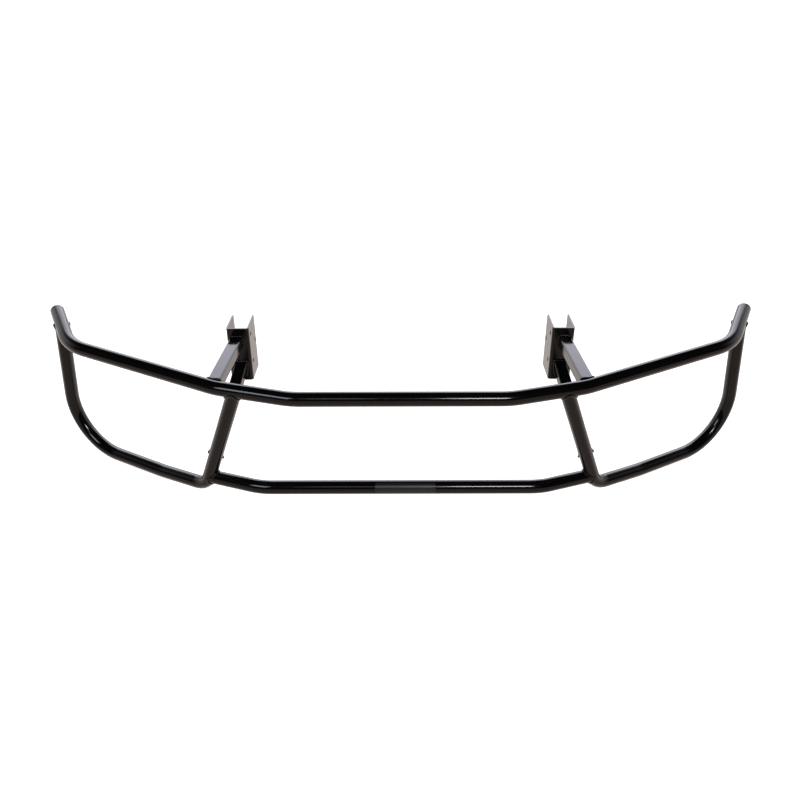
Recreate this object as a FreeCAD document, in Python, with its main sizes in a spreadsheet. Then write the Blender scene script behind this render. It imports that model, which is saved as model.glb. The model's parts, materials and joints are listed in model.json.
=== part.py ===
"""Front grille guard: two bent cross rails, two headlight hoops, four arms and two bolt-on brackets.

The guard is welded steel. Every round tube is coped onto the tube it meets, so that the pieces
meet face to face under a weld bead. The right-hand side is built; the left is its mirror image.

Frame: +X to the right side of the vehicle seen from ahead, +Y to the rear (towards the vehicle),
+Z up. The origin lies midway between the two brackets, on the plane of their front faces, at half
their height. Sizes are millimetres and degrees.
"""

import FreeCAD, Part

import math
import os

import Sketcher

Vector = FreeCAD.Vector
Constraint = Sketcher.Constraint

ORIGIN = Vector(0, 0, 0)
X_AXIS = Vector(1, 0, 0)
Y_AXIS = Vector(0, 1, 0)
Z_AXIS = Vector(0, 0, 1)

# alias: (value, meaning)
DIMENSIONS = {
    "tube_od": (25.4, "outside diameter of the round tube"),
    "tube_wall": (2.0, "wall of the round tube"),
    "cope_setback": (3.0, "gap from a coped end to the centreline that it meets"),
    "arm_setback": (8.0, "gap from an arm's coped end to the centreline that it meets"),
    "rail_reach": (210.5, "bracket face to the middle of the top rail"),
    "rail_height": (20.7, "middle of the top rail above the bracket centre"),
    "rail_rake": (9.5, "angle at which the top rail rises to the rear"),
    "rail_middle": (167.0, "half of the straight middle of the top rail"),
    "rail_bend_a": (13.4, "first bend of the top rail"),
    "rail_inner_wing": (105.0, "straight between the first two bends"),
    "rail_bend_b": (10.5, "second bend of the top rail"),
    "rail_outer_wing": (266.0, "straight between the last two bends"),
    "rail_bend_c": (39.0, "wrap-around bend of the top rail"),
    "rail_tail": (92.0, "straight end of the top rail"),
    "rail_wing_radius": (130.0, "centreline radius of the two wing bends"),
    "rail_wrap_radius": (102.0, "centreline radius of the wrap-around bend"),
    "hoop_station": (82.5, "hoop upright along the inner wing"),
    "leg_station": (45.0, "hoop leg along the rail tail"),
    "hoop_lean": (1.8, "lean of the hoop's foot to the rear"),
    "upright_angle": (70.7, "angle from the hoop's chord to its upright"),
    "upright_run": (227.0, "upright from the rail's centreline to the corner"),
    "hoop_corner": (62.0, "bend at the foot of the upright"),
    "hoop_corner_radius": (42.0, "centreline radius of that bend"),
    "hoop_floor_inner": (82.0, "first straight of the hoop's floor"),
    "hoop_floor_bend": (3.5, "slight bend in the hoop's floor"),
    "hoop_floor_radius": (200.0, "centreline radius of the slight bend"),
    "hoop_floor_outer": (116.0, "second straight of the hoop's floor"),
    "hoop_outer_radius": (99.0, "centreline radius of the hoop's outer bend"),
    "lower_forward": (173.0, "bracket face to the middle of the lower rail"),
    "lower_middle": (234.0, "half of the straight middle of the lower rail"),
    "lower_bend_radius": (110.0, "centreline radius of the lower rail's bends"),
    "arm_side": (22.2, "side of the square arm tube"),
    "arm_wall": (1.65, "wall of the square arm tube"),
    "arm_corner": (3.0, "outside corner radius of the square arm tube"),
    "arm_rail_offset": (11.5, "upper arm on the rail, outboard of the bracket's centre"),
    "arm_plate_offset": (3.3, "upper arm on the bracket, outboard of its centre"),
    "arm_overrun": (20.0, "extra upper arm length trimmed off at the bracket"),
    "brace_rise": (50.0, "brace on the upright, above the upright's foot"),
    "brace_drop": (27.3, "brace on the bracket, below its centre"),
    "brace_overrun": (20.0, "extra brace length trimmed off at the bracket"),
    "bracket_spacing": (608.0, "between the centres of the two brackets"),
    "plate_width": (42.0, "outside width of a bracket"),
    "plate_height": (107.0, "height of a bracket"),
    "flange_depth": (64.0, "bracket face to the rear of its flanges"),
    "sheet": (3.2, "sheet thickness of a bracket"),
    "fold_radius": (2.0, "inside radius of a bracket's folds"),
    "hole_bore": (8.7, "diameter of a bracket hole"),
    "front_hole_depth": (18.0, "front holes behind the bracket face"),
    "rear_hole_depth": (54.5, "rear hole behind the bracket face"),
    "top_hole_drop": (18.0, "top hole below the bracket's top edge"),
    "rear_hole_drop": (46.0, "rear hole below the bracket's top edge"),
    "low_hole_drop": (73.5, "low hole below the bracket's top edge"),
    "plug_insert": (14.0, "length of an end plug inside its tube"),
    "plug_rim": (1.2, "straight rim of an end plug's head"),
    "plug_dome": (2.2, "rise of an end plug's domed head"),
    "bead_leg": (3.0, "leg of a weld bead"),
    "label_length": (109.0, "length of the bare label"),
    "label_shift": (8.0, "middle of the label to the right of the rail's middle"),
    "label_wrap": (100.0, "angle of the tube that the label covers"),
    "label_tilt": (20.0, "middle of the label above straight ahead"),
    "label_sheet": (0.3, "thickness of the label"),
}

doc = FreeCAD.newDocument("grille_guard")
sheet = doc.addObject("Spreadsheet::Sheet", "Sizes")


def store(row, alias, value, meaning):
    """Write one named size to the spreadsheet.

    Args:
        row: Row of the sheet.
        alias: Name that expressions use.
        value: Millimetres or degrees.
        meaning: What the size is.
    """
    sheet.set(f"A{row}", alias)
    sheet.set(f"B{row}", repr(float(value)))
    sheet.set(f"C{row}", meaning)
    sheet.setAlias(f"B{row}", alias)


for number, (name, (amount, words)) in enumerate(DIMENSIONS.items(), 1):
    store(number, name, amount, words)
doc.recompute()


def size(alias):
    """Return a size from the spreadsheet as a plain number."""
    return float(sheet.get(alias))


def derive(alias, value, meaning):
    """Add a size that follows from the driving ones."""
    row = len(DIMENSIONS) + 1
    DIMENSIONS[alias] = (value, meaning)
    store(row, alias, value, meaning)
    doc.recompute()


# ---------------------------------------------------------------- bent paths


class Straight:
    """A straight run of a bent path.

    Args:
        length: Expression for its length.
    """

    def __init__(self, length):
        self.expression = length
        self.length = evaluate(length)


class Bend:
    """A left-hand bend of a bent path.

    Args:
        angle: Expression for the angle turned, in degrees.
        radius: Expression for the centreline radius.
    """

    def __init__(self, angle, radius):
        self.angle_expression = angle
        self.radius_expression = radius
        self.angle = math.radians(evaluate(angle))
        self.radius = evaluate(radius)
        self.length = self.angle * self.radius


def evaluate(expression):
    """Return the value of an expression over the spreadsheet's aliases."""
    terms = " ".join(f"Sizes.{word}" if word in DIMENSIONS else word for word in expression.split())
    return float(sheet.evalExpression(terms))


def bind(expression):
    """Return the expression with each alias spelt as a cell of the spreadsheet."""
    return " ".join(f"Sizes.{word}" if word in DIMENSIONS else word for word in expression.split())


def heading(angle):
    """Return the unit vector at an angle in the path's own plane."""
    return Vector(math.cos(angle), math.sin(angle), 0)


def walk(runs, distance):
    """Return the point and the direction angle at a distance along a bent path.

    Args:
        runs: Straight and Bend runs, from the local origin along local +X.
        distance: Distance along the path.

    Returns:
        The local point and the direction in radians.
    """
    point = Vector(0, 0, 0)
    angle = 0.0
    for run in runs:
        step = min(distance, run.length)
        if isinstance(run, Straight):
            point = point + heading(angle) * step
        else:
            centre = point + heading(angle + math.pi / 2) * run.radius
            angle += step / run.radius
            point = centre - heading(angle + math.pi / 2) * run.radius
        distance -= step
        if distance <= 0:
            break
    return point, angle


def path_length(runs):
    """Return the length of a bent path."""
    return sum(run.length for run in runs)


def closing_run(point, angle, radius, target):
    """Return the bend and straight that lead from a point to a target.

    Args:
        point: Local point where the bend starts.
        angle: Direction there, in radians.
        radius: Centreline radius of the bend.
        target: Local point where the straight ends.

    Returns:
        The angle turned, in degrees, and the length of the straight.
    """
    centre = point + heading(angle + math.pi / 2) * radius
    offset = target - centre
    straight = math.sqrt(offset.Length**2 - radius**2)
    tangent = math.atan2(offset.y, offset.x) - math.atan2(straight, radius)
    turned = (tangent - (angle - math.pi / 2)) % (2 * math.pi)
    return math.degrees(turned), straight


def origin_plane(body, role):
    """Return one of a body's own origin planes."""
    return next(item for item in body.Origin.OriginFeatures if item.Role == role)


def new_sketch(body, name, role):
    """Return a new sketch on one of a body's origin planes."""
    sketch = body.newObject("Sketcher::SketchObject", name)
    sketch.AttachmentSupport = [(origin_plane(body, role), "")]
    sketch.MapMode = "FlatFace"
    return sketch


def constrain(sketch, value, expression, *reference):
    """Add a dimension to a sketch and bind it to the spreadsheet."""
    index = sketch.addConstraint(Constraint(*reference, value))
    sketch.setExpression(f"Constraints[{index}]", expression)


def draw_path(body, runs):
    """Draw a bent path in the body's XY plane, from its origin along +X.

    Args:
        body: The PartDesign body.
        runs: Straight and Bend runs.

    Returns:
        The sketch and the names of its edges.
    """
    sketch = new_sketch(body, "path", "XY_Plane")
    point = Vector(0, 0, 0)
    angle = 0.0
    before = None
    for run in runs:
        if isinstance(run, Straight):
            end = point + heading(angle) * run.length
            edge = sketch.addGeometry(Part.LineSegment(point, end))
            constrain(sketch, run.length, bind(run.expression), "Distance", edge)
        else:
            start_angle = angle - math.pi / 2
            centre = point - heading(start_angle) * run.radius
            circle = Part.Circle(centre, Z_AXIS, run.radius)
            arc = Part.ArcOfCircle(circle, start_angle, start_angle + run.angle)
            end = centre + heading(start_angle + run.angle) * run.radius
            edge = sketch.addGeometry(arc)
            constrain(sketch, run.radius, bind(run.radius_expression), "Radius", edge)
            turned = f"({bind(run.angle_expression)}) * 1 deg"
            constrain(sketch, run.angle, turned, "Angle", edge)
            angle += run.angle
        if before is None:
            sketch.addConstraint(Constraint("Coincident", edge, 1, -1, 1))
            sketch.addConstraint(Constraint("Horizontal", edge))
        else:
            sketch.addConstraint(Constraint("Tangent", before, 2, edge, 1))
        before = edge
        point = end
    doc.recompute()
    return sketch, [f"Edge{index + 1}" for index in range(len(runs))]


def draw_circle(sketch, radius_expression):
    """Draw a circle about the sketch's origin."""
    radius = evaluate(radius_expression)
    edge = sketch.addGeometry(Part.Circle(ORIGIN, Z_AXIS, radius))
    sketch.addConstraint(Constraint("Coincident", edge, 3, -1, 1))
    constrain(sketch, radius, bind(radius_expression), "Radius", edge)


def draw_rectangle(sketch, width_expression, height_expression):
    """Draw a rectangle centred on the sketch's origin."""
    half_width = evaluate(width_expression) / 2
    half_height = evaluate(height_expression) / 2
    corners = [
        Vector(half_width, -half_height, 0),
        Vector(half_width, half_height, 0),
        Vector(-half_width, half_height, 0),
        Vector(-half_width, -half_height, 0),
    ]
    sides = [
        sketch.addGeometry(Part.LineSegment(corners[index], corners[(index + 1) % 4]))
        for index in range(4)
    ]
    for index, side in enumerate(sides):
        sketch.addConstraint(Constraint("Coincident", side, 2, sides[(index + 1) % 4], 1))
        sketch.addConstraint(Constraint("Horizontal" if index % 2 else "Vertical", side))
    right, top, left, bottom = sides
    half_w = f"({bind(width_expression)}) / 2"
    half_h = f"({bind(height_expression)}) / 2"
    constrain(sketch, half_width, half_w, "DistanceX", -1, 1, right, 1)
    constrain(sketch, half_width, half_w, "DistanceX", left, 1, -1, 1)
    constrain(sketch, half_height, half_h, "DistanceY", -1, 1, top, 1)
    constrain(sketch, half_height, half_h, "DistanceY", bottom, 1, -1, 1)


def draw_rounded_square(sketch, side_expression, radius_expression):
    """Draw a square with round corners, centred on the sketch's origin."""
    half = evaluate(side_expression) / 2
    radius = evaluate(radius_expression)
    inner = half - radius
    sides = []
    arcs = []
    for quarter in range(4):
        turn = quarter * math.pi / 2
        outward = heading(turn)
        along = heading(turn + math.pi / 2)
        start = outward * half - along * inner
        end = outward * half + along * inner
        sides.append(sketch.addGeometry(Part.LineSegment(start, end)))
        circle = Part.Circle((outward + along) * inner, Z_AXIS, radius)
        arcs.append(sketch.addGeometry(Part.ArcOfCircle(circle, turn, turn + math.pi / 2)))
    for index in range(4):
        sketch.addConstraint(Constraint("Tangent", sides[index], 2, arcs[index], 1))
        sketch.addConstraint(Constraint("Tangent", arcs[index], 2, sides[(index + 1) % 4], 1))
        sketch.addConstraint(Constraint("Horizontal" if index % 2 else "Vertical", sides[index]))
    right, top, left, bottom = sides
    half_side = f"({bind(side_expression)}) / 2"
    constrain(sketch, radius, bind(radius_expression), "Radius", arcs[0])
    sketch.addConstraint(Constraint("Equal", arcs[0], arcs[1]))
    constrain(sketch, half, half_side, "DistanceX", -1, 1, right, 1)
    constrain(sketch, half, half_side, "DistanceX", left, 1, -1, 1)
    constrain(sketch, half, half_side, "DistanceY", -1, 1, top, 1)
    constrain(sketch, half, half_side, "DistanceY", bottom, 1, -1, 1)


# ---------------------------------------------------------------- placing


def frame_at(origin, along, across):
    """Return the placement whose local +X is `along` and whose XY plane holds `across`."""
    normal = along.cross(across)
    rotation = FreeCAD.Rotation(along, normal.cross(along), normal, "XZY")
    return FreeCAD.Placement(origin, rotation)


def new_body(name, label):
    """Return a new PartDesign body."""
    body = doc.addObject("PartDesign::Body", name)
    body.Label = label
    return body


def sweep(label, runs, draw_profile, placement, both_sides=False):
    """Sweep a profile along a bent path.

    Args:
        label: Label of the body.
        runs: Straight and Bend runs of the path.
        draw_profile: Function that draws the profile in a sketch across the path's start.
        placement: Placement of the path's own frame.
        both_sides: Whether the sweep is mirrored about the path's start.

    Returns:
        The PartDesign body.
    """
    body = new_body(label, label)
    path, edges = draw_path(body, runs)
    profile = new_sketch(body, "profile", "YZ_Plane")
    draw_profile(profile)
    doc.recompute()
    pipe = body.newObject("PartDesign::AdditivePipe", "pipe")
    pipe.Profile = profile
    pipe.Spine = (path, edges)
    doc.recompute()
    body.Tip = pipe
    if both_sides:
        mirrored = body.newObject("PartDesign::Mirrored", "both_sides")
        mirrored.Originals = [pipe]
        mirrored.MirrorPlane = (origin_plane(body, "YZ_Plane"), [""])
        body.Tip = mirrored
    body.Placement = placement
    doc.recompute()
    return body


def draw_tube(sketch):
    """Draw the section of the round tube."""
    draw_circle(sketch, "tube_od / 2")
    draw_circle(sketch, "tube_od / 2 - tube_wall")


def draw_rod(sketch):
    """Draw the filled outline of the round tube, which copes the tubes that meet it."""
    draw_circle(sketch, "tube_od / 2")


def cut(label, base, tool):
    """Cut one object with another."""
    result = doc.addObject("Part::Cut", label)
    result.Label = label
    result.Base = base
    result.Tool = tool
    doc.recompute()
    return result


def mirror(label, source):
    """Mirror an object to the left side."""
    result = doc.addObject("Part::Mirroring", label)
    result.Label = label
    result.Source = source
    result.Base = ORIGIN
    result.Normal = X_AXIS
    doc.recompute()
    return result


# ---------------------------------------------------------------- top rail

rail_runs = [
    Straight("rail_middle"),
    Bend("rail_bend_a", "rail_wing_radius"),
    Straight("rail_inner_wing"),
    Bend("rail_bend_b", "rail_wing_radius"),
    Straight("rail_outer_wing"),
    Bend("rail_bend_c", "rail_wrap_radius"),
    Straight("rail_tail"),
]
rake = math.radians(size("rail_rake"))
rail_rear = Vector(0, math.cos(rake), math.sin(rake))
rail_frame = frame_at(Vector(0, -size("rail_reach"), size("rail_height")), X_AXIS, rail_rear)


def on_rail(distance):
    """Return the point and the direction of the top rail's centreline, right half."""
    point, angle = walk(rail_runs, distance)
    return rail_frame.multVec(point), rail_frame.Rotation.multVec(heading(angle))


top_rail = sweep("top_rail", rail_runs, draw_tube, rail_frame, both_sides=True)
rail_rod = sweep("rail_rod", rail_runs, draw_rod, rail_frame, both_sides=True)

# ---------------------------------------------------------------- headlight hoop

inner_wing_start = path_length(rail_runs[:2])
tail_start = path_length(rail_runs[:-1])
hoop_head, _ = on_rail(inner_wing_start + size("hoop_station"))
leg_head, _ = on_rail(tail_start + size("leg_station"))

chord = leg_head - hoop_head
chord_length = chord.Length
chord.normalize()
plumb = (chord * chord.z - Z_AXIS).normalize()
lean = FreeCAD.Rotation(chord, size("hoop_lean"))
hoop_down = lean.multVec(plumb)
upright_turn = math.radians(size("upright_angle"))
upright_along = chord * math.cos(upright_turn) + hoop_down * math.sin(upright_turn)
upright_across = chord * math.sin(upright_turn) - hoop_down * math.cos(upright_turn)
hoop_frame = frame_at(hoop_head + upright_along * size("cope_setback"), upright_along, upright_across)

hoop_open_runs = [
    Straight("upright_run - cope_setback"),
    Bend("hoop_corner", "hoop_corner_radius"),
    Straight("hoop_floor_inner"),
    Bend("hoop_floor_bend", "hoop_floor_radius"),
    Straight("hoop_floor_outer"),
]
outer_start, outer_heading = walk(hoop_open_runs, path_length(hoop_open_runs))
outer_turn, leg_run = closing_run(
    outer_start,
    outer_heading,
    size("hoop_outer_radius"),
    hoop_frame.inverse().multVec(leg_head),
)
derive("hoop_outer_bend", outer_turn, "outer bend that brings the leg up to the rail")
derive("leg_run", leg_run, "leg from the outer bend to the rail's centreline")
hoop_runs = hoop_open_runs + [
    Bend("hoop_outer_bend", "hoop_outer_radius"),
    Straight("leg_run - cope_setback"),
]


def on_hoop(distance):
    """Return the point and the direction of the right hoop's centreline.

    Args:
        distance: Distance from the top rail's centreline, down the upright.
    """
    point, angle = walk(hoop_runs, distance - size("cope_setback"))
    return hoop_frame.multVec(point), hoop_frame.Rotation.multVec(heading(angle))


hoop_tube = sweep("hoop_tube", hoop_runs, draw_tube, hoop_frame)
hoop_rod = sweep("hoop_rod", hoop_runs, draw_rod, hoop_frame)
right_hoop = cut("right_hoop", hoop_tube, rail_rod)

# ---------------------------------------------------------------- lower rail

foot, foot_heading = on_hoop(size("upright_run"))
lower_frame = frame_at(Vector(0, -size("lower_forward"), foot.z), X_AXIS, Y_AXIS)
lower_turn, lower_end = closing_run(
    Vector(size("lower_middle"), 0, 0),
    0.0,
    size("lower_bend_radius"),
    lower_frame.inverse().multVec(foot),
)
derive("lower_bend", lower_turn, "bend that leads the lower rail to the hoop")
derive("lower_end", lower_end, "lower rail from its bend to the hoop's centreline")
lower_runs = [
    Straight("lower_middle"),
    Bend("lower_bend", "lower_bend_radius"),
    Straight("lower_end - cope_setback"),
]
lower_tube = sweep("lower_tube", lower_runs, draw_tube, lower_frame, both_sides=True)
hoop_rod_left = mirror("hoop_rod_left", hoop_rod)
lower_rail = cut("lower_rail", cut("lower_tube_right", lower_tube, hoop_rod), hoop_rod_left)

# ---------------------------------------------------------------- brackets

bracket_x = size("bracket_spacing") / 2
bracket_runs = [
    Straight("plate_width / 2 - sheet - fold_radius"),
    Bend("90", "fold_radius + sheet / 2"),
    Straight("flange_depth - sheet - fold_radius"),
]
HOLES = (
    ("front_hole_depth", "top_hole_drop"),
    ("rear_hole_depth", "rear_hole_drop"),
    ("front_hole_depth", "low_hole_drop"),
)


def draw_sheet(sketch):
    """Draw the section of the bracket's sheet."""
    draw_rectangle(sketch, "sheet", "plate_height")


def draw_holes(sketch):
    """Draw the bracket's bolt holes, seen from its side."""
    for depth, drop in HOLES:
        across = evaluate(f"{depth} - sheet / 2")
        up = evaluate(f"plate_height / 2 - {drop}")
        edge = sketch.addGeometry(Part.Circle(Vector(across, up, 0), Z_AXIS, size("hole_bore") / 2))
        constrain(sketch, size("hole_bore") / 2, bind("hole_bore / 2"), "Radius", edge)
        constrain(sketch, across, bind(f"{depth} - sheet / 2"), "DistanceX", -1, 1, edge, 3)
        if up < 0:
            constrain(sketch, -up, bind(f"{drop} - plate_height / 2"), "DistanceY", edge, 3, -1, 1)
        else:
            constrain(sketch, up, bind(f"plate_height / 2 - {drop}"), "DistanceY", -1, 1, edge, 3)


def build_bracket():
    """Fold a bracket from sheet and drill both of its flanges."""
    seat = FreeCAD.Placement(Vector(bracket_x, size("sheet") / 2, 0), FreeCAD.Rotation())
    body = sweep("right_bracket", bracket_runs, draw_sheet, seat, both_sides=True)
    undrilled = body.Shape.Volume
    holes = new_sketch(body, "holes", "YZ_Plane")
    draw_holes(holes)
    doc.recompute()
    pocket = body.newObject("PartDesign::Pocket", "drill")
    pocket.Profile = holes
    pocket.Midplane = True
    pocket.setExpression("Length", bind("plate_width * 2"))
    body.Tip = pocket
    doc.recompute()
    drilled = 2 * len(HOLES) * math.pi * size("hole_bore") ** 2 / 4 * size("sheet")
    if abs(undrilled - body.Shape.Volume - drilled) > 0.01 * drilled:
        raise RuntimeError("the bracket's holes don't go through both flanges")
    return body


right_bracket = build_bracket()

# ---------------------------------------------------------------- arms


def draw_arm(sketch):
    """Draw the section of the square arm tube."""
    draw_rounded_square(sketch, "arm_side", "arm_corner")
    draw_rounded_square(sketch, "arm_side - 2 * arm_wall", "arm_corner - arm_wall")


def draw_bar(sketch):
    """Draw the filled outline of the square arm tube."""
    draw_rounded_square(sketch, "arm_side", "arm_corner")


def pad(label, draw_profile, length_alias, placement):
    """Pad a profile along its body's +X.

    Args:
        label: Label of the body.
        draw_profile: Function that draws the profile.
        length_alias: Alias of the length.
        placement: Placement of the body.
    """
    body = new_body(label, label)
    profile = new_sketch(body, "profile", "YZ_Plane")
    draw_profile(profile)
    doc.recompute()
    feature = body.newObject("PartDesign::Pad", "pad")
    feature.Profile = profile
    feature.setExpression("Length", bind(length_alias))
    body.Tip = feature
    body.Placement = placement
    doc.recompute()
    return body


def rail_distance_at(x):
    """Return the distance along the right half of the top rail at which it reaches x."""
    low, high = 0.0, path_length(rail_runs)
    for _ in range(60):
        middle = (low + high) / 2
        if on_rail(middle)[0].x < x:
            low = middle
        else:
            high = middle
    return middle


bracket_room = doc.addObject("Part::Box", "bracket_room")
bracket_room.setExpression("Length", bind("plate_width * 3"))
bracket_room.setExpression("Width", bind("flange_depth * 2"))
bracket_room.setExpression("Height", bind("plate_height * 3"))
room_corner = Vector(bracket_x - 1.5 * size("plate_width"), 0, -1.5 * size("plate_height"))
bracket_room.Placement = FreeCAD.Placement(room_corner, FreeCAD.Rotation())
doc.recompute()


def arm_pieces(name, run_alias, meaning, start, end, overrun, met_rod):
    """Build an arm from a tube to the bracket's face.

    Args:
        name: Label of the arm.
        run_alias: Alias under which the arm's length is kept.
        meaning: What that length is.
        start: Point on the centreline of the tube that the arm meets.
        end: Point on the bracket's face.
        overrun: Alias of the extra length that is trimmed off at the bracket.
        met_rod: Filled outline of the tube that the arm meets.

    Returns:
        The arm, its filled outline, the expression for their untrimmed length and their placement.
    """
    along = end - start
    derive(run_alias, along.Length - size("arm_setback"), meaning)
    along.normalize()
    place = frame_at(start + along * size("arm_setback"), along, along.cross(X_AXIS))
    run = f"{run_alias} + {overrun}"
    tube = pad(f"{name}_tube", draw_arm, run, place)
    bar = pad(f"{name}_bar", draw_bar, run, place)
    trimmed = cut(f"{name}_trimmed", tube, bracket_room)
    return cut(name, trimmed, met_rod), bar, run, place


arm_head, _ = on_rail(rail_distance_at(bracket_x + size("arm_rail_offset")))
arm_foot = Vector(bracket_x + size("arm_plate_offset"), 0, arm_head.z)
right_upper_arm, upper_arm_bar, upper_arm_run, upper_arm_frame = arm_pieces(
    "right_upper_arm",
    "arm_run",
    "upper arm from its cope to the bracket",
    arm_head,
    arm_foot,
    "arm_overrun",
    rail_rod,
)

brace_head, _ = on_hoop(size("upright_run") - size("brace_rise"))
brace_foot = Vector(bracket_x, 0, -size("brace_drop"))
right_lower_arm, lower_arm_bar, lower_arm_run, lower_arm_frame = arm_pieces(
    "right_lower_arm",
    "brace_run",
    "brace from its cope to the bracket",
    brace_head,
    brace_foot,
    "brace_overrun",
    hoop_rod,
)

# ---------------------------------------------------------------- end plug


def build_plug():
    """Turn the plug that closes an end of the top rail."""
    end, end_heading = on_rail(path_length(rail_runs))
    bore = evaluate("tube_od / 2 - tube_wall")
    outside = size("tube_od") / 2
    insert, rim = size("plug_insert"), size("plug_rim")
    crown = rim + size("plug_dome")
    body = new_body("right_end_plug", "right_end_plug")
    sketch = new_sketch(body, "half_section", "XY_Plane")
    corners = [
        Vector(crown, 0, 0),
        Vector(-insert, 0, 0),
        Vector(-insert, bore, 0),
        Vector(0, bore, 0),
        Vector(0, outside, 0),
        Vector(rim, outside, 0),
    ]
    lines = [
        sketch.addGeometry(Part.LineSegment(corners[index], corners[index + 1]))
        for index in range(len(corners) - 1)
    ]
    dome = Part.Arc(corners[-1], dome_point(rim, crown, outside), corners[0])
    arc = sketch.addGeometry(dome)
    for index in range(len(lines) - 1):
        sketch.addConstraint(Constraint("Coincident", lines[index], 2, lines[index + 1], 1))
    for index, line in enumerate(lines):
        sketch.addConstraint(Constraint("Vertical" if index % 2 else "Horizontal", line))
    arc_start, arc_end = nearer_ends(sketch, arc, corners[-1])
    sketch.addConstraint(Constraint("Coincident", lines[-1], 2, arc, arc_start))
    sketch.addConstraint(Constraint("Coincident", lines[0], 1, arc, arc_end))
    sketch.addConstraint(Constraint("PointOnObject", arc, 3, -1))
    sketch.addConstraint(Constraint("PointOnObject", lines[0], 1, -1))
    constrain(sketch, insert, bind("plug_insert"), "DistanceX", lines[0], 2, -1, 1)
    constrain(sketch, bore, bind("tube_od / 2 - tube_wall"), "DistanceY", -1, 1, lines[2], 1)
    constrain(sketch, outside, bind("tube_od / 2"), "DistanceY", -1, 1, lines[4], 1)
    constrain(sketch, rim, bind("plug_rim"), "DistanceX", -1, 1, lines[4], 2)
    constrain(sketch, crown, bind("plug_rim + plug_dome"), "DistanceX", -1, 1, lines[0], 1)
    sketch.addConstraint(Constraint("PointOnObject", lines[3], 1, -2))
    doc.recompute()
    turned = body.newObject("PartDesign::Revolution", "turned")
    turned.Profile = sketch
    turned.ReferenceAxis = (sketch, ["H_Axis"])
    turned.Angle = 360
    body.Tip = turned
    body.Placement = frame_at(end, end_heading, Z_AXIS)
    doc.recompute()
    return body


def dome_point(rim, crown, outside):
    """Return a point half-way up the arc of the plug's dome, whose centre is on the axis."""
    rise = crown - rim
    radius = (rise**2 + outside**2) / (2 * rise)
    half = math.asin(outside / radius) / 2
    return Vector(crown - radius + radius * math.cos(half), radius * math.sin(half), 0)


def nearer_ends(sketch, edge, corner):
    """Return an arc's end numbers, with the one at the corner first."""
    starts_there = sketch.getPoint(edge, 1).distanceToPoint(corner) < 1e-6
    return (1, 2) if starts_there else (2, 1)


right_end_plug = build_plug()

# ---------------------------------------------------------------- label


def label_cylinder(name, radius_expression, angle_expression):
    """Return a cylinder, or a slice of one, about the lower rail's middle."""
    solid = doc.addObject("Part::Cylinder", name)
    solid.setExpression("Radius", bind(radius_expression))
    solid.setExpression("Height", bind("label_length"))
    solid.setExpression("Angle", bind(angle_expression))
    left_end = size("label_shift") - size("label_length") / 2
    start = Vector(left_end, -size("lower_forward"), foot.z)
    along_rail = FreeCAD.Rotation(Y_AXIS, 90)
    upper_edge = -90 - size("label_tilt") - size("label_wrap") / 2
    turned = FreeCAD.Rotation(Z_AXIS, upper_edge)
    solid.Placement = FreeCAD.Placement(start, along_rail.multiply(turned))
    return solid


label_outer = label_cylinder("label_outer", "tube_od / 2 + label_sheet", "label_wrap")
label_inner = label_cylinder("label_inner", "tube_od / 2", "360")
label_band = cut("label_band", label_outer, label_inner)

# ---------------------------------------------------------------- weld beads


def draw_thick_rod(sketch):
    """Draw the round tube's outline, grown by the leg of a weld bead."""
    draw_circle(sketch, "tube_od / 2 + bead_leg")


def draw_thick_bar(sketch):
    """Draw the square arm's outline, grown by the leg of a weld bead."""
    draw_rounded_square(sketch, "arm_side + 2 * bead_leg", "arm_corner + bead_leg")


def bead(label, grown, near, *pieces):
    """Fill the corner between two pieces with a weld bead.

    Args:
        label: Label of the bead.
        grown: The piece that ends there, grown by the bead's leg.
        near: The reach of the bead from the other piece.
        pieces: What the bead must not run into.
    """
    result = doc.addObject("Part::Common", f"{label}_corner")
    result.Base = grown
    result.Tool = near
    doc.recompute()
    for number, piece in enumerate(pieces, 1):
        name = label if number == len(pieces) else f"{label}_{number}"
        result = cut(name, result, piece)
    return result


thick_rail = sweep("thick_rail", rail_runs, draw_thick_rod, rail_frame, both_sides=True)
thick_hoop = sweep("thick_hoop", hoop_runs, draw_thick_rod, hoop_frame)
thick_upright = sweep("thick_upright", hoop_runs[:1], draw_thick_rod, hoop_frame)
thick_leg = cut("thick_leg", thick_hoop, thick_upright)
thick_lower = sweep("thick_lower", lower_runs, draw_thick_rod, lower_frame, both_sides=True)
lower_rod = sweep("lower_rod", lower_runs, draw_rod, lower_frame, both_sides=True)
thick_arm = pad("thick_arm", draw_thick_bar, upper_arm_run, upper_arm_frame)
thick_brace = pad("thick_brace", draw_thick_bar, lower_arm_run, lower_arm_frame)

plate_reach = doc.addObject("Part::Box", "plate_reach")
plate_reach.setExpression("Length", bind("plate_width * 3"))
plate_reach.setExpression("Width", bind("bead_leg"))
plate_reach.setExpression("Height", bind("plate_height * 3"))
reach_corner = room_corner - Y_AXIS * size("bead_leg")
plate_reach.Placement = FreeCAD.Placement(reach_corner, FreeCAD.Rotation())
doc.recompute()

welds = [
    bead("right_weld_hoop_inner", thick_upright, thick_rail, rail_rod, hoop_rod),
    bead("right_weld_hoop_outer", thick_leg, thick_rail, rail_rod, hoop_rod),
    bead("right_weld_lower_rail", thick_lower, thick_hoop, hoop_rod, lower_rod),
    bead("right_weld_upper_arm_rail", thick_arm, thick_rail, rail_rod, thick_hoop, upper_arm_bar),
    bead("right_weld_upper_arm_bracket", thick_arm, plate_reach, upper_arm_bar),
    bead("right_weld_lower_arm_hoop", thick_brace, thick_hoop, hoop_rod, lower_arm_bar),
    bead("right_weld_lower_arm_bracket", thick_brace, plate_reach, lower_arm_bar),
]

# ---------------------------------------------------------------- left side and export

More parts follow.
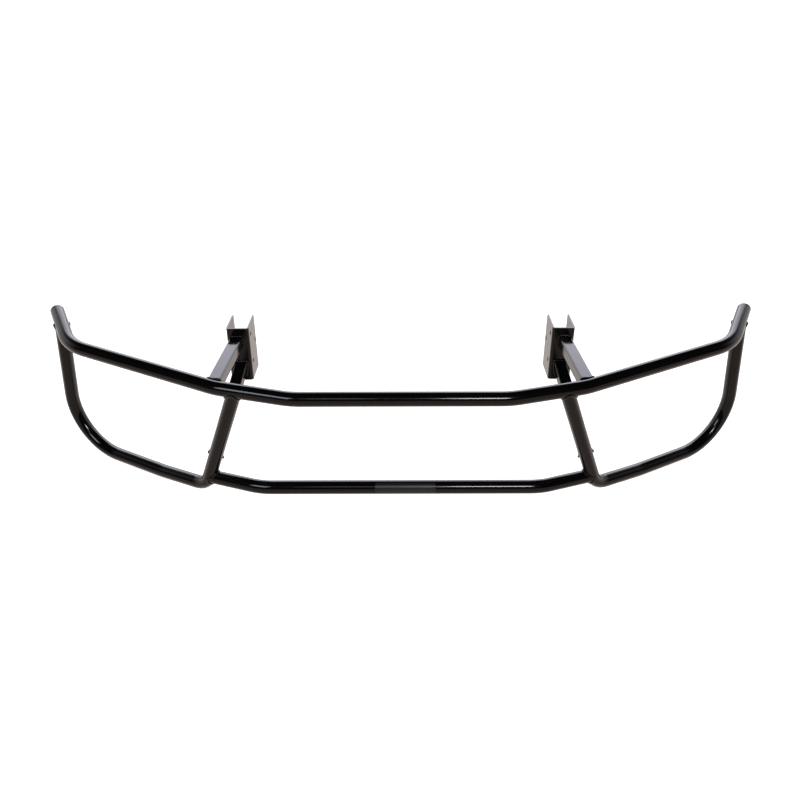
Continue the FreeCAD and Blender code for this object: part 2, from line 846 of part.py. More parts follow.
right_parts = [
    right_hoop,
    right_bracket,
    right_upper_arm,
    right_lower_arm,
    right_end_plug,
    *welds,
]
left_parts = [mirror(part.Label.replace("right", "left"), part) for part in right_parts]
parts = [top_rail, lower_rail, label_band, *right_parts, *left_parts]
doc.recompute()

for item in doc.Objects:
    if "Invalid" in item.State or "Error" in item.State:
        raise RuntimeError(f"{item.Label} failed: {item.State}")
for part in parts:
    if part.Shape.isNull() or not part.Shape.isValid() or not part.Shape.Solids:
        raise RuntimeError(f"{part.Label} has no valid solid")

os.makedirs("parts", exist_ok=True)
for part in parts:
    part.Shape.exportStep(f"parts/{part.Label}.step")
    print(f"{part.Label}: {len(part.Shape.Solids)} solid, {part.Shape.Volume:.0f} mm3")
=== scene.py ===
"""Front grille guard: finishes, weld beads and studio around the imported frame.

The tubes, arms, brackets, plugs and label are the frame's own nodes, which get their finishes here.
The plain collars that stand for the welds are replaced by rippled beads, each laid along the real
seam between two pieces.
"""

import json
import logging
import math
from dataclasses import dataclass, field
from enum import Enum
from typing import Callable, Protocol

import bpy
import numpy as np
from mathutils import Matrix, Vector


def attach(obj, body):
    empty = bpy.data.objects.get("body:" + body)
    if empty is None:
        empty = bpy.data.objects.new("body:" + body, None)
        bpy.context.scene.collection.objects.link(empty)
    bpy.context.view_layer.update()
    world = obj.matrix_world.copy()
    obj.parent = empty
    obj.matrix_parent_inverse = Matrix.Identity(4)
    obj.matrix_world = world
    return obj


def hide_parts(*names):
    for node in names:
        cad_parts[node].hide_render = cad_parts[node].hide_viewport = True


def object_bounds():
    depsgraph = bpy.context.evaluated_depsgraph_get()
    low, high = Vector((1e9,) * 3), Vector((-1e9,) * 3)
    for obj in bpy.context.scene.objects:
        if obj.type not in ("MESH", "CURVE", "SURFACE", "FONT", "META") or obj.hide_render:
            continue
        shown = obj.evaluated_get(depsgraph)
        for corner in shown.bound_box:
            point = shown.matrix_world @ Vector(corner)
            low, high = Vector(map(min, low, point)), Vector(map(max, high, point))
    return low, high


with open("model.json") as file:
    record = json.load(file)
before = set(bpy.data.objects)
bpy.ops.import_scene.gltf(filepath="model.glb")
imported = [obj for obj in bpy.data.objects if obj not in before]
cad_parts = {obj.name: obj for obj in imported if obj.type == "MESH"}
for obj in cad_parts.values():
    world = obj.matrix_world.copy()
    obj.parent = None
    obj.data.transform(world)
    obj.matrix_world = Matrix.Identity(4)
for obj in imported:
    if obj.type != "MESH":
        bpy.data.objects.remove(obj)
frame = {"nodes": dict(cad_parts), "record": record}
CAD_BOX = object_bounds()

LOG = logging.getLogger("grille_guard")
MM = 0.001


# ------------------------------------------------------------------ colours and nodes


def linear(hex_code: str) -> tuple[float, float, float, float]:
    """Turn an sRGB hex colour into linear red, green, blue and alpha.

    Args:
        hex_code: Six hex digits after a hash.

    Returns:
        The linear colour, with alpha 1.
    """
    shares = [int(hex_code[start:start + 2], 16) / 255 for start in (1, 3, 5)]
    red, green, blue = (
        share / 12.92 if share <= 0.04045 else ((share + 0.055) / 1.055) ** 2.4
        for share in shares
    )
    return red, green, blue, 1.0


def add_node(
    tree: bpy.types.NodeTree, kind: str, inputs: dict | None = None, **settings
) -> bpy.types.Node:
    """Add a node, set it and link it.

    Args:
        tree: The node tree.
        kind: The node's type name.
        inputs: Socket name or number to a value, or to the output socket that feeds it.
        settings: Attributes of the node.

    Returns:
        The node.
    """
    node = tree.nodes.new(kind)
    for name, value in settings.items():
        setattr(node, name, value)
    for key, value in (inputs or {}).items():
        if isinstance(value, bpy.types.NodeSocket):
            tree.links.new(value, node.inputs[key])
        else:
            node.inputs[key].default_value = value
    return node


class Slot(Enum):
    """The record's material slots."""

    COAT = "black_coat"
    PLUG = "plug_plastic"
    LABEL = "label_film"


# ------------------------------------------------------------------ finishes


@dataclass(frozen=True)
class PowderCoat:
    """Gloss polyester powder coat, sprayed dry on steel and baked.

    To the eye it is mirror-like with a faint orange peel, and a few dust specks are a little duller.
    """

    name: str = "gloss_powder_coat"
    thin_colour: str = "#0b0a0a"
    thick_colour: str = "#050505"
    ior: float = 1.47
    roughness_low: float = 0.085
    roughness_high: float = 0.15
    peel_mm: float = 3.2
    peel_height_mm: float = 0.0035
    flow_mm: float = 45.0
    speck_cell_mm: float = 7.2
    speck_core: float = 0.03
    speck_rim: float = 0.06
    speck_roughness: float = 0.16

    def build(self) -> bpy.types.Material:
        """Return the finish as a material."""
        material = bpy.data.materials.new(self.name)
        material.use_nodes = True
        tree = material.node_tree
        shader = tree.nodes["Principled BSDF"]
        shader.inputs["IOR"].default_value = self.ior
        place = add_node(tree, "ShaderNodeTexCoord").outputs["Object"]
        peel = add_node(
            tree,
            "ShaderNodeTexNoise",
            {"Vector": place, "Scale": 1 / (self.peel_mm * MM), "Detail": 1.0, "Roughness": 0.4},
        )
        flow = add_node(
            tree,
            "ShaderNodeTexNoise",
            {"Vector": place, "Scale": 1 / (self.flow_mm * MM), "Detail": 3.0, "Roughness": 0.55},
        )
        specks = add_node(
            tree,
            "ShaderNodeTexVoronoi",
            {"Vector": place, "Scale": 1 / (self.speck_cell_mm * MM)},
        )
        grains = add_node(
            tree,
            "ShaderNodeMapRange",
            {
                "Value": specks.outputs["Distance"],
                "From Min": self.speck_core,
                "From Max": self.speck_rim,
                "To Min": self.speck_roughness,
                "To Max": 0.0,
            },
        )
        gloss = add_node(
            tree,
            "ShaderNodeMapRange",
            {
                "Value": flow.outputs["Fac"],
                "From Min": 0.3,
                "From Max": 0.7,
                "To Min": self.roughness_low,
                "To Max": self.roughness_high,
            },
        )
        dusted = add_node(
            tree,
            "ShaderNodeMath",
            {0: gloss.outputs["Result"], 1: grains.outputs["Result"]},
            operation="ADD",
        )
        tree.links.new(dusted.outputs["Value"], shader.inputs["Roughness"])
        tone = add_node(tree, "ShaderNodeMix", {"Factor": flow.outputs["Fac"]}, data_type="RGBA")
        tone.inputs["A"].default_value = linear(self.thin_colour)
        tone.inputs["B"].default_value = linear(self.thick_colour)
        tree.links.new(tone.outputs["Result"], shader.inputs["Base Color"])
        bump = add_node(
            tree,
            "ShaderNodeBump",
            {"Height": peel.outputs["Fac"], "Distance": self.peel_height_mm * MM, "Strength": 1.0},
        )
        tree.links.new(bump.outputs["Normal"], shader.inputs["Normal"])
        return material


@dataclass(frozen=True)
class MouldedPolythene:
    """Low-density polythene, injection moulded in a spark-eroded tool: black, waxy and half matt."""

    name: str = "moulded_polythene"
    colour: str = "#0f0f10"
    rubbed_colour: str = "#1a1a1b"
    ior: float = 1.51
    roughness: float = 0.42
    grain_mm: float = 0.6
    grain_height_mm: float = 0.012

    def build(self) -> bpy.types.Material:
        """Return the finish as a material."""
        material = bpy.data.materials.new(self.name)
        material.use_nodes = True
        tree = material.node_tree
        shader = tree.nodes["Principled BSDF"]
        shader.inputs["IOR"].default_value = self.ior
        shader.inputs["Roughness"].default_value = self.roughness
        place = add_node(tree, "ShaderNodeTexCoord").outputs["Object"]
        grain = add_node(
            tree,
            "ShaderNodeTexNoise",
            {"Vector": place, "Scale": 1 / (self.grain_mm * MM), "Detail": 2.0},
        )
        tone = add_node(tree, "ShaderNodeMix", {"Factor": grain.outputs["Fac"]}, data_type="RGBA")
        tone.inputs["A"].default_value = linear(self.colour)
        tone.inputs["B"].default_value = linear(self.rubbed_colour)
        tree.links.new(tone.outputs["Result"], shader.inputs["Base Color"])
        bump = add_node(
            tree,
            "ShaderNodeBump",
            {"Height": grain.outputs["Fac"], "Distance": self.grain_height_mm * MM, "Strength": 0.6},
        )
        tree.links.new(bump.outputs["Normal"], shader.inputs["Normal"])
        return material


@dataclass(frozen=True)
class EmbossedFilm:
    """Black vinyl film, rolled with a fine crossed hatch; the grey on the ridges is a painted sheen in
    the base colour.
    """

    name: str = "embossed_film"
    valley_colour: str = "#0a0a0b"
    # Lighter grey painted on the hatch ridges as a painted sheen, not a colour of the film itself.
    ridge_sheen_painted_colour: str = "#3a3a3e"
    ior: float = 1.53
    roughness: float = 0.34
    hatch_mm: float = 3.4
    hatch_slant: float = 50.0
    hatch_wobble: float = 0.3
    wave_unit: float = 0.314
    ridge_height_mm: float = 0.05

    def build(self) -> bpy.types.Material:
        """Return the finish as a material."""
        material = bpy.data.materials.new(self.name)
        material.use_nodes = True
        tree = material.node_tree
        shader = tree.nodes["Principled BSDF"]
        shader.inputs["IOR"].default_value = self.ior
        shader.inputs["Roughness"].default_value = self.roughness
        place = add_node(tree, "ShaderNodeTexCoord").outputs["Object"]
        waves = []
        for slant in (self.hatch_slant, -self.hatch_slant):
            turned = add_node(
                tree,
                "ShaderNodeMapping",
                {"Vector": place, "Rotation": (0.0, math.radians(slant), 0.0)},
            )
            waves.append(add_node(
                tree,
                "ShaderNodeTexWave",
                {
                    "Vector": turned.outputs["Vector"],
                    "Scale": self.wave_unit / (self.hatch_mm * MM),
                    "Distortion": self.hatch_wobble,
                },
            ))
        hatch = add_node(
            tree,
            "ShaderNodeMath",
            {0: waves[0].outputs["Fac"], 1: waves[1].outputs["Fac"]},
            operation="MULTIPLY",
        )
        # Painted sheen: the base colour turns lighter grey where the hatch is high, standing in for light
        # caught by the ridges.
        tone = add_node(tree, "ShaderNodeMix", {"Factor": hatch.outputs["Value"]}, data_type="RGBA")
        tone.inputs["A"].default_value = linear(self.valley_colour)
        tone.inputs["B"].default_value = linear(self.ridge_sheen_painted_colour)
        tree.links.new(tone.outputs["Result"], shader.inputs["Base Color"])
        bump = add_node(
            tree,
            "ShaderNodeBump",
            {"Height": hatch.outputs["Value"], "Distance": self.ridge_height_mm * MM, "Strength": 0.8},
        )
        tree.links.new(bump.outputs["Normal"], shader.inputs["Normal"])
        return material


@dataclass(frozen=True)
class PaperSweep:
    """White seamless studio paper that glows a little, so that it is an even ground with no edge."""

    name: str = "paper_sweep"
    colour: str = "#f4f4f4"
    glow: float = 0.86

    def build(self) -> bpy.types.Material:
        """Return the finish as a material."""
        material = bpy.data.materials.new(self.name)
        material.use_nodes = True
        shader = material.node_tree.nodes["Principled BSDF"]
        shader.inputs["Base Color"].default_value = linear(self.colour)
        shader.inputs["Roughness"].default_value = 1.0
        shader.inputs["Specular IOR Level"].default_value = 0.0
        shader.inputs["Emission Color"].default_value = linear("#ffffff")
        shader.inputs["Emission Strength"].default_value = self.glow
        return material


# ------------------------------------------------------------------ layout of the tubes


def unit(vector: np.ndarray) -> np.ndarray:
    """Return the vector at length 1, along its last axis."""
    return vector / np.linalg.norm(vector, axis=-1, keepdims=True)


@dataclass(frozen=True)
class Run:
    """One run of a bent tube: straight where the angle is 0, else a left-hand bend.

    Attributes:
        length: Length of a straight run.
        angle: Angle of a bend, in radians.
        radius: Centreline radius of a bend.
    """

    length: float = 0.0
    angle: float = 0.0
    radius: float = 1.0

    @property
    def span(self) -> float:
        """Return the run's length along the centreline."""
        return self.length if self.angle == 0 else self.angle * self.radius


def bend(degrees: float, radius: float) -> Run:
    """Return a bend from its angle in degrees and its centreline radius."""
    return Run(angle=math.radians(degrees), radius=radius)


@dataclass(frozen=True)
class Placement:
    """Where a flat path lies: its origin, its start direction and the direction it bends towards."""

    origin: np.ndarray
    along: np.ndarray
    across: np.ndarray

    def lift(self, flat: np.ndarray) -> np.ndarray:
        """Return points in space for flat points, as origin plus x along plus y across."""
        return self.origin + flat[..., :1] * self.along + flat[..., 1:] * self.across

    def turn(self, angle: float) -> np.ndarray:
        """Return the direction in space at an angle from the start direction."""
        return self.along * math.cos(angle) + self.across * math.sin(angle)

    def flatten(self, point: np.ndarray) -> np.ndarray:
        """Return the flat coordinates of a point in space."""
        offset = point - self.origin
        return np.array([offset @ self.along, offset @ self.across])


def walk(runs: list[Run], distance: float) -> tuple[np.ndarray, float]:
    """Return the flat point and direction angle at a distance along a path of runs.

    Args:
        runs: The runs, from (0, 0) along +X.
        distance: Distance along the centreline.

    Returns:
        The flat point and the angle in radians.
    """
    point, angle = np.zeros(2), 0.0
    for run in runs:
        step = min(distance, run.span)
        if run.angle == 0:
            point = point + step * np.array([math.cos(angle), math.sin(angle)])
        else:
            centre = point + run.radius * np.array([-math.sin(angle), math.cos(angle)])
            angle += step / run.radius
            point = centre - run.radius * np.array([-math.sin(angle), math.cos(angle)])
        distance -= step
        if distance <= 0:
            break
    return point, angle


def closing_runs(point: np.ndarray, angle: float, radius: float, target: np.ndarray) -> list[Run]:
    """Return the bend and the straight that lead from a flat point to a target.

    The tangent from the target touches the bend's circle, so the straight is the square root of
    the squared distance to its centre less the squared radius.
    """
    offset = target - (point + radius * np.array([-math.sin(angle), math.cos(angle)]))
    straight = math.sqrt(offset @ offset - radius**2)
    tangent = math.atan2(offset[1], offset[0]) - math.atan2(straight, radius)
    turned = (tangent - (angle - math.pi / 2)) % (2 * math.pi)
    return [Run(angle=turned, radius=radius), Run(length=straight)]


class Solid(Protocol):
    """Something that a bead can lie against."""

    def clearance(self, points: np.ndarray) -> np.ndarray:
        """Return each point's distance from the surface, in millimetres."""


@dataclass(frozen=True)
class Tube:
    """A round tube about a chain of centreline points, in millimetres."""

    line: np.ndarray
    radius: float

    def clearance(self, points: np.ndarray) -> np.ndarray:
        """Return each point's distance from the tube, its least distance to a link less the radius."""
        start, link = self.line[:-1], np.diff(self.line, axis=0)
        offset = points[:, None, :] - start
        share = np.clip(np.einsum("mnk,nk->mn", offset, link) / np.einsum("nk,nk->n", link, link), 0, 1)
        gap = np.linalg.norm(offset - share[..., None] * link, axis=-1)
        return gap.min(axis=1) - self.radius


@dataclass(frozen=True)
class FrontPlate:
    """The plane of the bracket plates' front faces."""

    def clearance(self, points: np.ndarray) -> np.ndarray:
        """Return each point's distance ahead of the plane."""
        return -points[:, 1]


@dataclass
class GuardLayout:
    """Centrelines of the right half of the guard, in millimetres, worked out from its bend sizes."""

    tube_radius: float = 12.7
    rail_middle_point: tuple[float, float, float] = (0.0, -210.5, 20.7)
    rail_rake: float = 9.5
    rail_runs: list[Run] = field(default_factory=lambda: [
        Run(length=167.0),
        bend(13.4, 130.0),
        Run(length=105.0),
        bend(10.5, 130.0),
        Run(length=266.0),
        bend(39.0, 102.0),
        Run(length=92.0),
    ])
    hoop_station: float = 82.5
    leg_station: float = 45.0
    hoop_lean: float = 1.8
    upright_angle: float = 70.7
    upright_run: float = 227.0
    hoop_runs_open: list[Run] = field(default_factory=lambda: [
        Run(length=227.0),
        bend(62.0, 42.0),
        Run(length=82.0),
        bend(3.5, 200.0),
        Run(length=116.0),
    ])
    hoop_outer_radius: float = 99.0
    lower_forward: float = 173.0
    lower_middle: float = 234.0
    lower_bend_radius: float = 110.0
    bracket_x: float = 304.0
    arm_side: float = 22.2
    arm_corner: float = 3.0
    arm_rail_offset: float = 11.5
    arm_plate_offset: float = 3.3
    cope_setback: float = 3.0
    arm_setback: float = 8.0
    brace_rise: float = 50.0
    brace_drop: float = 27.3
    link_length: float = 1.5
    rail_samples: int = 4000

    def __post_init__(self) -> None:
        """Work out the three paths and where they meet."""
        rake = math.radians(self.rail_rake)
        self.rail = Placement(
            np.array(self.rail_middle_point),
            np.array([1.0, 0.0, 0.0]),
            np.array([0.0, math.cos(rake), math.sin(rake)]),
        )
        self.head, self.head_angle = self.on_rail(
            sum(run.span for run in self.rail_runs[:2]) + self.hoop_station
        )
        self.leg_head, self.leg_angle = self.on_rail(
            sum(run.span for run in self.rail_runs[:-1]) + self.leg_station
        )
        chord = unit(self.leg_head - self.head)
        down = unit(chord * chord[2] - np.array([0.0, 0.0, 1.0]))
        lean = math.radians(self.hoop_lean)
        down = down * math.cos(lean) + np.cross(chord, down) * math.sin(lean)
        slant = math.radians(self.upright_angle)
        self.hoop = Placement(
            self.head,
            chord * math.cos(slant) + down * math.sin(slant),
            chord * math.sin(slant) - down * math.cos(slant),
        )
        end, angle = walk(self.hoop_runs_open, 1e9)
        self.hoop_runs = self.hoop_runs_open + closing_runs(
            end, angle, self.hoop_outer_radius, self.hoop.flatten(self.leg_head)
        )
        self.foot = self.on_hoop(self.upright_run)[0]
        self.lower = Placement(
            np.array([0.0, -self.lower_forward, self.foot[2]]),
            np.array([1.0, 0.0, 0.0]),
            np.array([0.0, 1.0, 0.0]),
        )
        middle = Run(length=self.lower_middle)
        self.lower_runs = [middle] + closing_runs(
            np.array([self.lower_middle, 0.0]), 0.0, self.lower_bend_radius, self.lower.flatten(self.foot)
        )

    def on_rail(self, distance: float) -> tuple[np.ndarray, np.ndarray]:
        """Return the point and direction of the top rail at a distance from its middle."""
        flat, angle = walk(self.rail_runs, distance)
        return self.rail.lift(flat), self.rail.turn(angle)

    def on_hoop(self, distance: float) -> tuple[np.ndarray, np.ndarray]:
        """Return the point and direction of the hoop at a distance from the top rail."""
        flat, angle = walk(self.hoop_runs, distance)
        return self.hoop.lift(flat), self.hoop.turn(angle)

    def tube(self, placement: Placement, runs: list[Run]) -> Tube:
        """Return the tube about a whole path."""
        length = sum(run.span for run in runs)
        steps = np.linspace(0.0, length, int(length / self.link_length))
        flat = np.array([walk(runs, step)[0] for step in steps])
        return Tube(placement.lift(flat), self.tube_radius)


# ------------------------------------------------------------------ weld beads


def round_profile(radius: float, turn: np.ndarray) -> np.ndarray:
    """Return a circle's points: radius times the cosine and sine of the turn."""
    return radius * np.stack([np.cos(turn), np.sin(turn)], axis=-1)


def square_profile(half: float, corner: float, turn: np.ndarray) -> np.ndarray:
    """Return a round-cornered square's points at even steps of its outline.

    The outline is four sides and four quarter circles. Each point keeps to the inner square of
    half less corner, and stands the corner radius off it.
    """
    inner = half - corner
    side, arc = 2 * inner, corner * math.pi / 2
    travel = (turn / (2 * math.pi) * 4 * (side + arc)) % (4 * (side + arc))
    quarter = np.floor(travel / (side + arc))
    rest = travel - quarter * (side + arc)
    along = np.minimum(rest, side) - inner
    swing = np.maximum(rest - side, 0.0) / corner
    base = np.stack([inner + corner * np.cos(swing), along + corner * np.sin(swing)], axis=-1)
    spin = quarter * math.pi / 2
    return np.stack(
        [
            base[:, 0] * np.cos(spin) - base[:, 1] * np.sin(spin),
            base[:, 0] * np.sin(spin) + base[:, 1] * np.cos(spin),
        ],
        axis=-1,
    )


@dataclass
class WeldBead:
    """A fillet weld round the end of a tube, as overlapping ripples along the seam.

    Attributes:
        node: The frame's node that the bead stands for, without its side.
        outline: Function of a stand-off and turns that gives the entering tube's outline.
        axis: Point on the entering tube's centreline at the joint.
        away: Direction along that centreline, away from the joint.
        across: A direction across it.
        met: What the tube's end meets.
        setback: Least distance of the seam from the axis point, along the entering tube.
    """

    node: str
    outline: Callable[[float, np.ndarray], np.ndarray]
    axis: np.ndarray
    away: np.ndarray
    across: np.ndarray
    met: Solid
    setback: float | None = None
    radius: float = 1.9
    stand_off: float = 0.7
    ripple: float = 1.7
    ripple_height: float = 0.2
    ripple_lean: float = 0.6
    wander_height: float = 0.12
    wander_waves: int = 3
    reach: float = 60.0
    halvings: int = 40
    steps: int = 320
    sides: int = 20

    def seam(self) -> tuple[np.ndarray, np.ndarray]:
        """Find the seam by halving the range along the tube in which the clearance is the stand-off.

        Returns:
            The seam's points and, at each, the outward direction of the entering tube.
        """
        turn = np.arange(self.steps) / self.steps * 2 * math.pi
        side = unit(np.cross(self.away, self.across))
        across = np.cross(side, self.away)
        near, far = (self.outline(self.stand_off + extra, turn) for extra in (0.0, 1.0))
        base = self.axis + near[:, :1] * across + near[:, 1:] * side
        outward = unit((far - near)[:, :1] * across + (far - near)[:, 1:] * side)
        low, high = np.full(self.steps, -self.reach / 4), np.full(self.steps, self.reach)
        for _ in range(self.halvings):
            middle = (low + high) / 2
            inside = self.met.clearance(base + middle[:, None] * self.away) < self.stand_off
            low, high = np.where(inside, middle, low), np.where(inside, high, middle)
        if self.setback is not None:
            high = np.maximum(high, self.setback)
        return base + high[:, None] * self.away, outward

    def surface(self) -> tuple[np.ndarray, int, int]:
        """Work out the bead's skin on a closed grid.

        The section is a circle about the seam. Its radius swells within each ripple as a half
        wave that leans back, so that each ripple overlaps the one before it.

        Returns:
            The points, and the number of steps along and round.
        """
        centre, outward = self.seam()
        ahead = np.roll(centre, -1, axis=0) - np.roll(centre, 1, axis=0)
        travel = np.concatenate([[0.0], np.cumsum(np.linalg.norm(np.diff(centre, axis=0), axis=1))])
        length = travel[-1] + np.linalg.norm(centre[0] - centre[-1])
        ahead = unit(ahead)
        first = unit(outward - np.sum(outward * ahead, axis=1, keepdims=True) * ahead)
        second = np.cross(ahead, first)
        ripples = round(length / self.ripple)
        phase = (travel / length * ripples) % 1.0
        swell = self.ripple_height * np.sin(math.pi * phase**self.ripple_lean)
        wander_turn = travel / length * 2 * math.pi * self.wander_waves
        wander = self.wander_height * np.sin(wander_turn + len(self.node))
        around = np.arange(self.sides) / self.sides * 2 * math.pi
        reach = (self.radius + swell + wander)[:, None, None]
        ring = (
            np.cos(around)[None, :, None] * first[:, None, :]
            + np.sin(around)[None, :, None] * second[:, None, :]
        )
        return centre[:, None, :] + reach * ring, self.steps, self.sides

    def build(self, side: str, mirror: float, finish: bpy.types.Material) -> bpy.types.Object:
        """Make the bead's mesh on one side of the guard.

        Args:
            side: Word that the node's name starts with.
            mirror: 1 for the right side, -1 for the left.
            finish: The bead's material.

        Returns:
            The piece.
        """
        points, rows, columns = self.surface()
        points = points.reshape(-1, 3) * np.array([mirror, 1.0, 1.0]) * MM
        row, column = np.meshgrid(np.arange(rows), np.arange(columns), indexing="ij")
        next_row, next_column = (row + 1) % rows, (column + 1) % columns
        corners = [
            row * columns + column,
            next_row * columns + column,
            next_row * columns + next_column,
            row * columns + next_column,
        ]
        faces = np.stack(corners, axis=-1).reshape(-1, 4)
        if enclosed(points, faces) < 0:
            faces = faces[:, ::-1]
        name = f"{side}_{self.node.replace('weld', 'bead')}"
        mesh = bpy.data.meshes.new(name)
        mesh.from_pydata(points.tolist(), [], faces.tolist())
        mesh.polygons.foreach_set("use_smooth", np.ones(len(faces), dtype=bool))
        mesh.materials.append(finish)
        mesh.update()
        piece = bpy.data.objects.new(name, mesh)
        bpy.context.scene.collection.objects.link(piece)
        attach(piece, "root")
        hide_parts(f"{side}_{self.node}")
        return piece


def enclosed(points: np.ndarray, faces: np.ndarray) -> float:
    """Return the signed volume inside a closed mesh of quads, positive if they face outwards."""
    first, second, third, fourth = (points[faces[:, corner]] for corner in range(4))
    halves = np.einsum("ij,ij->i", first, np.cross(second, third) + np.cross(third, fourth))
    return float(halves.sum() / 6)


@dataclass
class Weldment:
    """The welds of the guard, on both sides."""

    layout: GuardLayout
    finish: bpy.types.Material

    def round_outline(self, stand_off: float, turn: np.ndarray) -> np.ndarray:
        """Return the round tube's outline, grown by the stand-off."""
        return round_profile(self.layout.tube_radius + stand_off, turn)

    def square_outline(self, stand_off: float, turn: np.ndarray) -> np.ndarray:
        """Return the square arm's outline, grown by the stand-off."""
        half, corner = self.layout.arm_side / 2, self.layout.arm_corner
        return square_profile(half + stand_off, corner + stand_off, turn)

    def beads(self) -> list[WeldBead]:
        """Return the right side's beads, in the order they are welded."""
        plan = self.layout
        rail = plan.tube(plan.rail, plan.rail_runs)
        hoop = plan.tube(plan.hoop, plan.hoop_runs)
        across_rail = np.array([1.0, 0.0, 0.0])
        leg_direction = -plan.on_hoop(1e9)[1]
        lower_direction = -plan.lower.turn(sum(run.angle for run in plan.lower_runs))
        stations = np.linspace(0.0, sum(run.span for run in plan.rail_runs), plan.rail_samples)
        rail_points = np.array([plan.on_rail(station)[0] for station in stations])
        arm_x = plan.bracket_x + plan.arm_rail_offset
        arm_head = rail_points[np.argmin(np.abs(rail_points[:, 0] - arm_x))]
        upward = np.array([0.0, 0.0, 1.0])
        arm_foot = np.array([plan.bracket_x + plan.arm_plate_offset, 0.0, arm_head[2]])
        arm = unit(arm_foot - arm_head)
        brace_head = plan.on_hoop(plan.upright_run - plan.brace_rise)[0]
        brace_foot = np.array([plan.bracket_x, 0.0, -plan.brace_drop])
        brace = unit(brace_foot - brace_head)
        tube, bar, plate = self.round_outline, self.square_outline, FrontPlate()
        coped, clipped = plan.cope_setback, plan.arm_setback
        joints = [
            ("weld_hoop_inner", tube, plan.head, plan.hoop.along, across_rail, rail, coped),
            ("weld_hoop_outer", tube, plan.leg_head, leg_direction, across_rail, rail, coped),
            ("weld_lower_rail", tube, plan.foot, lower_direction, upward, hoop, coped),
            ("weld_upper_arm_rail", bar, arm_head, arm, upward, rail, clipped),
            ("weld_upper_arm_bracket", bar, arm_foot, -arm, upward, plate, None),
            ("weld_lower_arm_hoop", bar, brace_head, brace, across_rail, hoop, clipped),
            ("weld_lower_arm_bracket", bar, brace_foot, -brace, across_rail, plate, None),
        ]
        return [WeldBead(*joint) for joint in joints]

    def build(self) -> list[bpy.types.Object]:
        """Lay every bead on both sides."""
        return [
            bead.build(side, mirror, self.finish)
            for bead in self.beads()
            for side, mirror in (("right", 1.0), ("left", -1.0))
        ]


# ------------------------------------------------------------------ the frame's own nodes


@dataclass
class FrameNodes:
    """The tubes, arms, brackets, plugs and label that the frame already holds."""

    finishes: dict[Slot, bpy.types.Material]

    def dress(self) -> list[bpy.types.Object]:
        """Give every node the finish of its slot in the record."""
        slots = {row["node"]: Slot(row["material_slot"]) for row in frame["record"]["subparts"]}
        for name, node in frame["nodes"].items():
            node.data.materials.clear()
            node.data.materials.append(self.finishes[slots[name]])
        return list(frame["nodes"].values())


# ------------------------------------------------------------------ studio


@dataclass(frozen=True)
class Softbox:
    """A flat studio light.

    Attributes:
        name: Its name.
        position: Its middle, in metres.
        target: Where it points.
        width: Its width.
        height: Its height.
        radiance: Brightness of its face.
        tint: Colour of its light.
    """

    name: str
    position: tuple[float, float, float]
    target: tuple[float, float, float]
    width: float
    height: float
    radiance: float
    tint: str = "#ffffff"

    def build(self) -> bpy.types.Object:
        """Hang the light; its power is the radiance times pi times its area."""
        light = bpy.data.lights.new(self.name, "AREA")
        light.shape = "RECTANGLE"
        light.size, light.size_y = self.width, self.height
        light.energy = self.radiance * math.pi * self.width * self.height
        light.color = linear(self.tint)[:3]
        lamp = bpy.data.objects.new(self.name, light)
        lamp.location = self.position
        aim = Vector(self.target) - Vector(self.position)
        lamp.rotation_euler = aim.to_track_quat("-Z", "Y").to_euler()
        lamp.visible_camera = False
        bpy.context.scene.collection.objects.link(lamp)
        return lamp


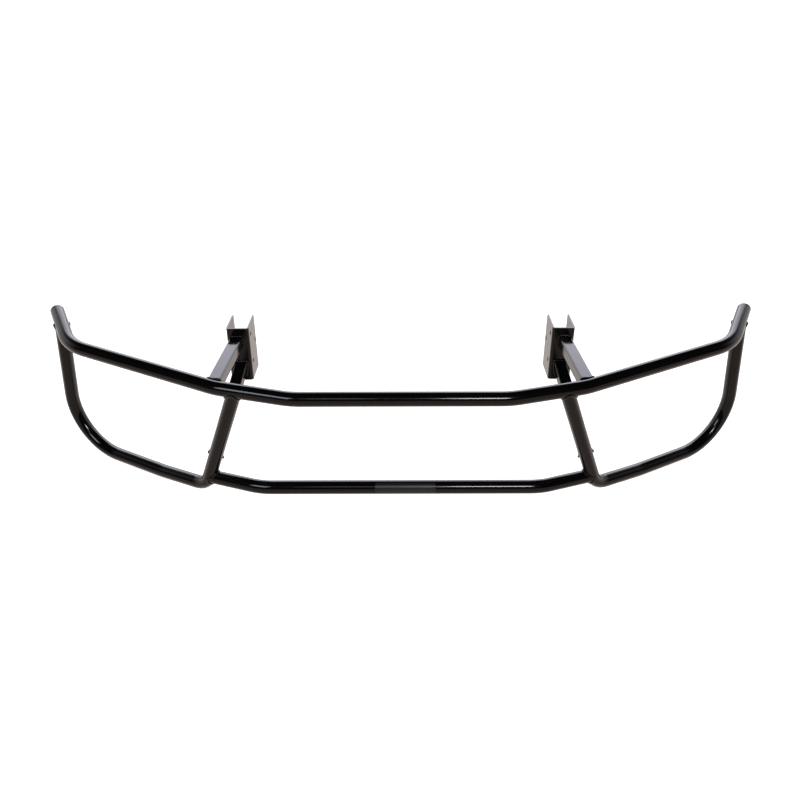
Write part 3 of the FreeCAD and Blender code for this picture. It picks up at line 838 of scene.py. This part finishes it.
@dataclass
class Studio:
    """Paper ground, soft lights, sky and camera."""

    ground_half: float = 30.0
    ground_gap: float = 0.002
    camera_place: tuple[float, float, float] = (0.0003, -1.3614, 0.6643)
    camera_pitch: float = 29.28
    camera_roll: float = -0.18
    camera_yaw: float = 0.07
    lens: float = 36.0
    sky_front: str = "#1c1a19"
    sky_rear: str = "#f6f6fb"
    floor_front: str = "#b3a49a"
    floor_rear: str = "#fff4ee"
    softboxes: tuple[Softbox, ...] = (
        Softbox("rear_bank", (0.0, 3.2, 1.5), (0.0, 0.0, 0.0), 5.5, 2.2, 2.4, "#f0f0ff"),
        Softbox("key_right", (0.53, -2.28, 1.53), (0.0, -0.1, 0.0), 0.6, 0.45, 20.0),
        Softbox("key_faint", (-0.3, -2.3, 1.53), (0.0, -0.1, 0.0), 0.35, 0.4, 2.0),
        Softbox("fill_left", (-1.4, -2.0, 1.5), (0.0, 0.0, 0.0), 1.1, 0.8, 6.0, "#e8ecff"),
    )

    def build(self) -> None:
        """Build the whole studio."""
        self.camera()
        self.ground()
        self.sky()
        for softbox in self.softboxes:
            softbox.build()
        bpy.context.scene.view_settings.view_transform = "Standard"

    def camera(self) -> None:
        """Stand the camera at its height, looking down at the guard."""
        data = bpy.data.cameras.new("camera")
        data.lens = self.lens
        data.sensor_width = 36.0
        eye = bpy.data.objects.new("camera", data)
        turn = (
            Matrix.Rotation(math.radians(self.camera_yaw), 4, "Z")
            @ Matrix.Rotation(math.radians(90 - self.camera_pitch), 4, "X")
            @ Matrix.Rotation(math.radians(self.camera_roll), 4, "Z")
        )
        eye.matrix_world = Matrix.Translation(self.camera_place) @ turn
        bpy.context.scene.collection.objects.link(eye)
        bpy.context.scene.camera = eye

    def ground(self) -> None:
        """Roll out the paper just under the guard."""
        level = CAD_BOX[0].z - self.ground_gap
        half = self.ground_half
        turns = ((-half, -half), (half, -half), (half, half), (-half, half))
        corners = [(across, along, level) for across, along in turns]
        mesh = bpy.data.meshes.new("ground")
        mesh.from_pydata(corners, [], [(0, 1, 2, 3)])
        mesh.materials.append(PaperSweep().build())
        ground = bpy.data.objects.new("ground", mesh)
        bpy.context.scene.collection.objects.link(ground)
        ground.visible_glossy = False

    def sky(self) -> None:
        """Make the sky white to the eye.

        In reflections it is pale behind the guard, dark ahead of it and warm below it.
        """
        world = bpy.data.worlds.new("studio_sky")
        world.use_nodes = True
        bpy.context.scene.world = world
        tree = world.node_tree
        tree.nodes.clear()
        place = add_node(tree, "ShaderNodeTexCoord").outputs["Generated"]
        parts = add_node(tree, "ShaderNodeSeparateXYZ", {0: place})
        rear = add_node(
            tree,
            "ShaderNodeMapRange",
            {"Value": parts.outputs["Y"], "From Min": -0.35, "From Max": 0.35},
            interpolation_type="SMOOTHSTEP",
        )
        low = add_node(
            tree,
            "ShaderNodeMapRange",
            {"Value": parts.outputs["Z"], "From Min": 0.75, "From Max": 0.45},
            interpolation_type="SMOOTHSTEP",
        )
        pale = add_node(
            tree,
            "ShaderNodeMath",
            {0: rear.outputs["Result"], 1: low.outputs["Result"]},
            operation="MULTIPLY",
        )
        tone = add_node(tree, "ShaderNodeMix", {"Factor": pale.outputs["Value"]}, data_type="RGBA")
        tone.inputs["A"].default_value = linear(self.sky_front)
        tone.inputs["B"].default_value = linear(self.sky_rear)
        below = add_node(
            tree,
            "ShaderNodeMapRange",
            {"Value": parts.outputs["Z"], "From Min": 0.02, "From Max": -0.06},
            interpolation_type="SMOOTHSTEP",
        )
        floor = add_node(tree, "ShaderNodeMix", {"Factor": rear.outputs["Result"]}, data_type="RGBA")
        floor.inputs["A"].default_value = linear(self.floor_front)
        floor.inputs["B"].default_value = linear(self.floor_rear)
        around = add_node(tree, "ShaderNodeMix", {"Factor": below.outputs["Result"]}, data_type="RGBA")
        tree.links.new(tone.outputs["Result"], around.inputs["A"])
        tree.links.new(floor.outputs["Result"], around.inputs["B"])
        seen = add_node(tree, "ShaderNodeBackground", {"Color": linear("#ffffff"), "Strength": 1.0})
        felt = add_node(
            tree, "ShaderNodeBackground", {"Color": around.outputs["Result"], "Strength": 1.0}
        )
        ray = add_node(tree, "ShaderNodeLightPath").outputs["Is Camera Ray"]
        both = add_node(
            tree,
            "ShaderNodeMixShader",
            {0: ray, 1: felt.outputs["Background"], 2: seen.outputs["Background"]},
        )
        add_node(tree, "ShaderNodeOutputWorld", {"Surface": both.outputs["Shader"]})


# ------------------------------------------------------------------ making


def main() -> None:
    """Build the studio, dress the frame and lay the welds."""
    logging.basicConfig(level=logging.INFO, format="%(name)s: %(message)s")
    Studio().build()
    coat = PowderCoat().build()
    finishes = {
        Slot.COAT: coat,
        Slot.PLUG: MouldedPolythene().build(),
        Slot.LABEL: EmbossedFilm().build(),
    }
    for node in FrameNodes(finishes).dress():
        LOG.info("dressed %s", node.name)
    for piece in Weldment(GuardLayout(), coat).build():
        LOG.info("welded %s", piece.name)


if __name__ == "__main__":
    main()
